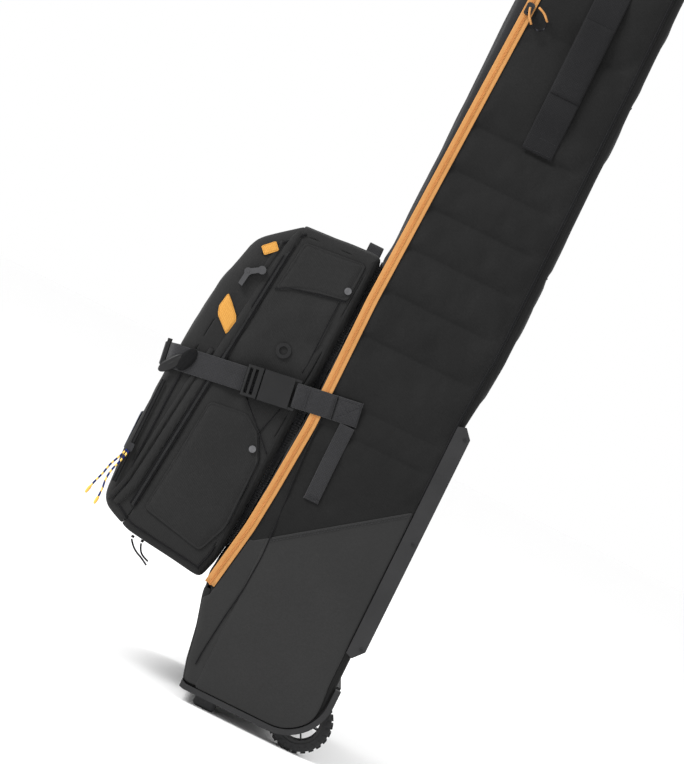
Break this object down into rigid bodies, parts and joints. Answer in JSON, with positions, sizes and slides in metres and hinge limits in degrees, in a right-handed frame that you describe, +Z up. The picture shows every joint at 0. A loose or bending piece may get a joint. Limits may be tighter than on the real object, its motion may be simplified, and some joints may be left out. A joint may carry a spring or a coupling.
{
  "type": "wheeled snowboard bag with strap-on pack",
  "caption": "Long wheeled padded snowboard bag with a zipped front lid, side grips, hard wheeled base and rear skid plate, carrying a clamshell pack held on its front by a buckled strap.",
  "frame": {"origin": "centre of the bounding box on the floor the bag stands on, between its wheels and front feet", "axes": "+Z up along the bag's length, +X to its back (wheels and skid plate), -Y to the side with the zipper"},
  "size_m": [0.497, 0.4019, 1.7832],
  "materials": {
    "shell_fabric": "quilted matt polyester weave",
    "lid_fabric": "matt polyester weave",
    "armor_fabric": "smooth coated fabric",
    "pack_fabric": "ripstop weave",
    "webbing": "woven webbing",
    "gold_tape": "zipper tape",
    "gold_webbing": "woven webbing",
    "black_tape": "zipper tape",
    "mesh": "spacer mesh",
    "lining": "plain lining",
    "cord_black": "braided cord",
    "cord_navy": "braided cord flecked with yellow",
    "hard_black": "fine grained",
    "plate_plastic": "satin",
    "rim_plastic": "satin",
    "tyre_rubber": "matt",
    "foot_rubber": "matt",
    "steel": "satin",
    "aluminium": "satin",
    "slider_metal": "black",
    "patch_coated": "coated patch"
  },
  "bodies": {
    "bag": {"bag_shell": "shell_fabric", "base_tray": "hard_black", "wheel_housings": "hard_black", "near_side_armor": "armor_fabric", "far_side_armor": "armor_fabric", "rear_skid_plate": "plate_plastic", "skid_pad": "lining", "rivets": "aluminium", "front_feet": "foot_rubber", "axles": "steel", "zip_tape_shell": "gold_tape", "back_stays": "aluminium", "base_board": "plate_plastic", "inner_straps": "webbing", "near_side_handle": "webbing", "far_side_handle": "webbing", "top_handle": "webbing", "near_anchor_patch": "webbing", "near_anchor_tail": "webbing", "hinge_piping": "webbing"},
    "lid": {"lid_panel": "lid_fabric", "zip_tape_lid": "gold_tape", "far_anchor_webbing": "webbing", "far_buckle_socket": "hard_black"},
    "near_anchor": {"near_anchor_webbing": "webbing", "near_buckle_socket": "hard_black"},
    "pack": {"pack_body": "pack_fabric", "pack_back_pad": "mesh", "pack_haul_loop": "webbing", "pack_side_pocket": "pack_fabric", "pack_side_flap": "pack_fabric", "pack_snaps": "steel", "pack_eyelet": "hard_black", "pack_zip_tape_body": "black_tape", "bottom_tabs": "webbing"},
    "pack_front": {"pack_panel": "pack_fabric", "pack_zip_tape_panel": "black_tape", "pack_front_patch": "patch_coated", "gold_tab": "gold_webbing", "gold_loop": "gold_webbing", "toggle_base": "hard_black", "pocket_zip_tape": "black_tape"},
    "strap": {"pack_strap": "webbing", "near_buckle_tongue": "hard_black", "far_buckle_tongue": "hard_black", "strap_glide": "hard_black"},
    "near_wheel": {"near_wheel_tyre": "tyre_rubber", "near_wheel_rim": "rim_plastic", "near_wheel_bearings": "steel"},
    "far_wheel": {"far_wheel_tyre": "tyre_rubber", "far_wheel_rim": "rim_plastic", "far_wheel_bearings": "steel"},
    "main_slider": {"zip_slider": "slider_metal"},
    "main_pull": {"zip_pull_loop": "cord_black"},
    "toggle": {"toggle_hook": "hard_black"},
    "pocket_slider": {"pocket_zip_slider": "slider_metal"},
    "pocket_pulls": {"pull_cord_upper": "cord_navy", "pull_cord_lower": "cord_navy"},
    "bottom_pull_front": {"bottom_cord_front": "cord_black"},
    "bottom_pull_back": {"bottom_cord_back": "cord_black"}
  },
  "joints": [
    {"name": "lid_hinge", "type": "hinge", "parent": "bag", "child": "lid", "pos_m": [0.01821, 0.1876, 0.9], "axis": [-0.036, 0, -0.9994], "range_deg": [0, 105]},
    {"name": "near_anchor_fold", "type": "hinge", "parent": "bag", "child": "near_anchor", "pos_m": [0.03144, -0.1885, 0.50059], "axis": [-0.1478, 0, 0.989], "range_deg": [0, 105]},
    {"name": "pack_release", "type": "slide", "parent": "lid", "child": "pack", "axis": [-0.989, 0, -0.1478], "range_m": [0, 0.25]},
    {"name": "strap_release", "type": "slide", "parent": "pack", "child": "strap", "axis": [-0.989, 0, -0.1478], "range_m": [0, 0.6]},
    {"name": "pack_panel_fold", "type": "hinge", "parent": "pack", "child": "pack_front", "pos_m": [-0.1829, 0, 0.1976], "axis": [0, -1, 0], "range_deg": [0, 62.5]},
    {"name": "near_wheel_spin", "type": "hinge", "parent": "bag", "child": "near_wheel", "pos_m": [0.196, -0.155, 0.05], "axis": [0, 1, 0], "continuous": true},
    {"name": "far_wheel_spin", "type": "hinge", "parent": "bag", "child": "far_wheel", "pos_m": [0.196, 0.155, 0.05], "axis": [0, 1, 0], "continuous": true},
    {"name": "zip_slide", "type": "slide", "parent": "bag", "child": "main_slider", "axis": [0.036, 0, 0.9994], "range_m": [-0.5, 0.5]},
    {"name": "zip_pull_swing", "type": "hinge", "parent": "main_slider", "child": "main_pull", "pos_m": [0.028, -0.1935, 1.172], "axis": [0, 1, 0], "range_deg": [-60, 60]},
    {"name": "toggle_turn", "type": "hinge", "parent": "pack_front", "child": "toggle", "pos_m": [-0.178, -0.179, 0.628], "axis": [0, 1, 0], "range_deg": [-40, 40]},
    {"name": "pocket_zip_slide", "type": "slide", "parent": "pack_front", "child": "pocket_slider", "axis": [0, 0, 1], "range_m": [-0.045, 0.1]},
    {"name": "pocket_pull_swing", "type": "hinge", "parent": "pocket_slider", "child": "pocket_pulls", "pos_m": [-0.22, -0.18, 0.31], "axis": [0, 1, 0], "range_deg": [-25, 25]},
    {"name": "bottom_pull_front_swing", "type": "hinge", "parent": "pack", "child": "bottom_pull_front", "pos_m": [-0.158, -0.16, 0.186], "axis": [0, 1, 0], "range_deg": [-25, 25]},
    {"name": "bottom_pull_back_swing", "type": "hinge", "parent": "pack", "child": "bottom_pull_back", "pos_m": [-0.142, -0.158, 0.186], "axis": [0, 1, 0], "range_deg": [-25, 25]}
  ],
  "couplings": [
    {"joint": "near_anchor_fold", "follows": "lid_hinge", "ratio": 1},
    {"joint": "pack_panel_fold", "follows": "strap_release", "rad_per_m": 1.8}
  ]
}
